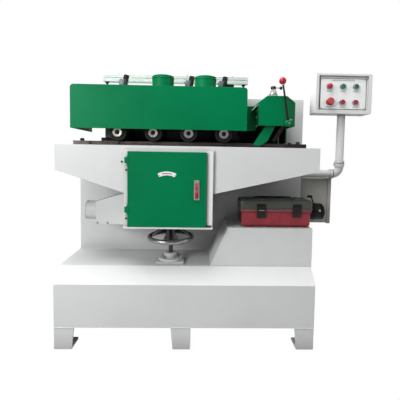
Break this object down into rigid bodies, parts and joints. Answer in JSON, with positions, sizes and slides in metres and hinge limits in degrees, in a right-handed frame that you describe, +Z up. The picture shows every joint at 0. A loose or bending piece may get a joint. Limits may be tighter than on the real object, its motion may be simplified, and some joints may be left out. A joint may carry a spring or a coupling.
{
  "type": "multi rip saw",
  "caption": "Saw with a gang of circular blades, a table raised by a handwheel, press rollers under a hood, an infeed guard with kickback fingers and a swivelling control box",
  "frame": {"origin": "on the floor, at the centre of the four corner anchor holes", "axes": "+X to the operator's right, against the feed; +Y from the front to the rear; +Z up"},
  "size_m": [1.764, 1.319, 1.506],
  "materials": {
    "white_paint": "satin light-grey enamel",
    "green_paint": "satin green enamel",
    "grey_paint": "grey enamel",
    "machined_steel": "ground and oiled steel",
    "bright_steel": "polished steel",
    "cast_iron": "dark cast iron",
    "rubber": "black rubber",
    "black_plastic": "black plastic",
    "black_steel": "black oxide or black paint",
    "red_plastic": "red plastic",
    "dark_red_plastic": "dull red plastic",
    "green_plastic": "green plastic",
    "bronze": "bronze",
    "aluminium": "satin aluminium",
    "clear_glass": "clear glass"
  },
  "bodies": {
    "frame": {"base_frame": "white_paint", "feet": "white_paint", "column": "white_paint", "rear_cover": "white_paint", "slide_rails": "machined_steel", "tool_shelf": "white_paint", "electric_cabinet": "grey_paint", "spindle_housing": "cast_iron", "belt_guard": "green_paint", "main_motor": "grey_paint", "screw_stand": "white_paint", "overarm": "cast_iron", "hood": "green_paint", "press_cylinders": "aluminium", "air_manifold": "aluminium", "infeed_housing": "green_paint", "oil_cup": "clear_glass", "feed_drive": "black_steel", "support_arm": "white_paint", "drive_belts": "rubber", "toolbox_base": "dark_red_plastic"},
    "lift_table": {"table_frame": "white_paint", "spindle_box": "white_paint", "gib_blocks": "cast_iron", "bed_plates": "machined_steel", "rear_fence": "black_steel", "dust_funnel": "white_paint"},
    "height_wheel": {"handwheel": "bright_steel", "lift_nut": "bronze"},
    "front_door": {"access_door": "green_paint"},
    "saw_arbor": {"saw_spindle": "machined_steel", "saw_blades": "machined_steel", "spindle_collars": "machined_steel", "spindle_pulley": "cast_iron"},
    "motor_sheave": {"motor_pulley": "cast_iron"},
    "press_unit": {"press_carriage": "cast_iron"},
    "roller_1": {"press_roller_1": "rubber"},
    "roller_2": {"press_roller_2": "rubber"},
    "roller_3": {"press_roller_3": "rubber"},
    "roller_4": {"press_roller_4": "rubber"},
    "kickback_lever": {"lever_arm": "black_steel", "lever_ball": "red_plastic", "kickback_fingers": "machined_steel"},
    "control_head": {"control_box": "white_paint", "control_panel": "aluminium", "button_bezels": "aluminium", "pilot_lamp": "red_plastic"},
    "button_1": {"push_button_1": "green_plastic"},
    "button_2": {"push_button_2": "green_plastic"},
    "button_3": {"push_button_3": "red_plastic"},
    "button_4": {"push_button_4": "red_plastic"},
    "stop_head": {"stop_button": "red_plastic"},
    "knob_1": {"valve_knob_1": "black_plastic"},
    "knob_2": {"valve_knob_2": "black_plastic"},
    "knob_3": {"valve_knob_3": "black_plastic"},
    "cabinet_leaf": {"cabinet_door": "grey_paint"},
    "case_lid": {"toolbox_lid": "dark_red_plastic"},
    "case_latches": {"toolbox_latches": "black_plastic"},
    "case_handle": {"toolbox_handle": "black_plastic"}
  },
  "joints": [
    {"name": "wheel_turn", "type": "hinge", "parent": "lift_table", "child": "height_wheel", "pos_m": [-0.092, -0.49, 0.6], "axis": [0, 0, 1], "range_deg": [0, 3600]},
    {"name": "table_lift", "type": "slide", "parent": "frame", "child": "lift_table", "axis": [0, 0, 1], "range_m": [-0.06, 0]},
    {"name": "door_hinge", "type": "hinge", "parent": "lift_table", "child": "front_door", "pos_m": [-0.302, -0.659, 0.85], "axis": [0, 0, -1], "range_deg": [0, 110]},
    {"name": "arbor_spin", "type": "hinge", "parent": "frame", "child": "saw_arbor", "pos_m": [-0.092, 0, 0.86], "axis": [0, 1, 0], "continuous": true},
    {"name": "motor_spin", "type": "hinge", "parent": "frame", "child": "motor_sheave", "pos_m": [-0.092, 0.115, 0.574], "axis": [0, 1, 0], "continuous": true},
    {"name": "press_slide", "type": "slide", "parent": "frame", "child": "press_unit", "axis": [0, 0, 1], "range_m": [0, 0.06]},
    {"name": "roller_spin_1", "type": "hinge", "parent": "press_unit", "child": "roller_1", "pos_m": [-0.37, -0.45, 1.1175], "axis": [0, 1, 0], "continuous": true},
    {"name": "roller_spin_2", "type": "hinge", "parent": "press_unit", "child": "roller_2", "pos_m": [-0.184, -0.45, 1.1175], "axis": [0, 1, 0], "continuous": true},
    {"name": "roller_spin_3", "type": "hinge", "parent": "press_unit", "child": "roller_3", "pos_m": [0.002, -0.45, 1.1175], "axis": [0, 1, 0], "continuous": true},
    {"name": "roller_spin_4", "type": "hinge", "parent": "press_unit", "child": "roller_4", "pos_m": [0.188, -0.45, 1.1175], "axis": [0, 1, 0], "continuous": true},
    {"name": "kickback_lift", "type": "hinge", "parent": "frame", "child": "kickback_lever", "pos_m": [0.519, -0.57, 1.176], "axis": [0, 1, 0], "range_deg": [0, 50]},
    {"name": "head_swivel", "type": "hinge", "parent": "frame", "child": "control_head", "pos_m": [0.944, -0.26, 0.968], "axis": [0, 0, 1], "range_deg": [-90, 90]},
    {"name": "button_press_1", "type": "slide", "parent": "control_head", "child": "button_1", "axis": [0, 1, 0], "range_m": [0, 0.004], "stiffness_N_per_m": 400, "springref_m": -0.002},
    {"name": "button_press_2", "type": "slide", "parent": "control_head", "child": "button_2", "axis": [0, 1, 0], "range_m": [0, 0.004], "stiffness_N_per_m": 400, "springref_m": -0.002},
    {"name": "button_press_3", "type": "slide", "parent": "control_head", "child": "button_3", "axis": [0, 1, 0], "range_m": [0, 0.004], "stiffness_N_per_m": 400, "springref_m": -0.002},
    {"name": "button_press_4", "type": "slide", "parent": "control_head", "child": "button_4", "axis": [0, 1, 0], "range_m": [0, 0.004], "stiffness_N_per_m": 400, "springref_m": -0.002},
    {"name": "stop_press", "type": "slide", "parent": "control_head", "child": "stop_head", "axis": [0, 1, 0], "range_m": [0, 0.005]},
    {"name": "knob_turn_1", "type": "hinge", "parent": "frame", "child": "knob_1", "pos_m": [-0.35927, -0.41, 1.43644], "axis": [0.2079, 0, 0.9781], "range_deg": [0, 300]},
    {"name": "knob_turn_2", "type": "hinge", "parent": "frame", "child": "knob_2", "pos_m": [0.01073, -0.41, 1.43644], "axis": [0.2079, 0, 0.9781], "range_deg": [0, 300]},
    {"name": "knob_turn_3", "type": "hinge", "parent": "frame", "child": "knob_3", "pos_m": [0.19973, -0.41, 1.43644], "axis": [0.2079, 0, 0.9781], "range_deg": [0, 300]},
    {"name": "cabinet_hinge", "type": "hinge", "parent": "frame", "child": "cabinet_leaf", "pos_m": [0.89, 0.061, 0.726], "axis": [0, 0, 1], "range_deg": [0, 110]},
    {"name": "lid_hinge", "type": "hinge", "parent": "frame", "child": "case_lid", "pos_m": [0.481, -0.4015, 0.715], "axis": [-1, 0, 0], "range_deg": [0, 22]},
    {"name": "latch_swing", "type": "hinge", "parent": "case_lid", "child": "case_latches", "pos_m": [0.481, -0.5613, 0.745], "axis": [-1, 0, 0], "range_deg": [0, 80]},
    {"name": "handle_swing", "type": "hinge", "parent": "case_lid", "child": "case_handle", "pos_m": [0.481, -0.482, 0.775], "axis": [1, 0, 0], "range_deg": [0, 90]}
  ],
  "couplings": [
    {"joint": "table_lift", "follows": "wheel_turn", "m_per_rad": -0.00095493},
    {"joint": "motor_spin", "follows": "arbor_spin", "ratio": 0.81993},
    {"joint": "roller_spin_2", "follows": "roller_spin_1", "ratio": 1},
    {"joint": "roller_spin_3", "follows": "roller_spin_1", "ratio": 1},
    {"joint": "roller_spin_4", "follows": "roller_spin_1", "ratio": 1}
  ]
}
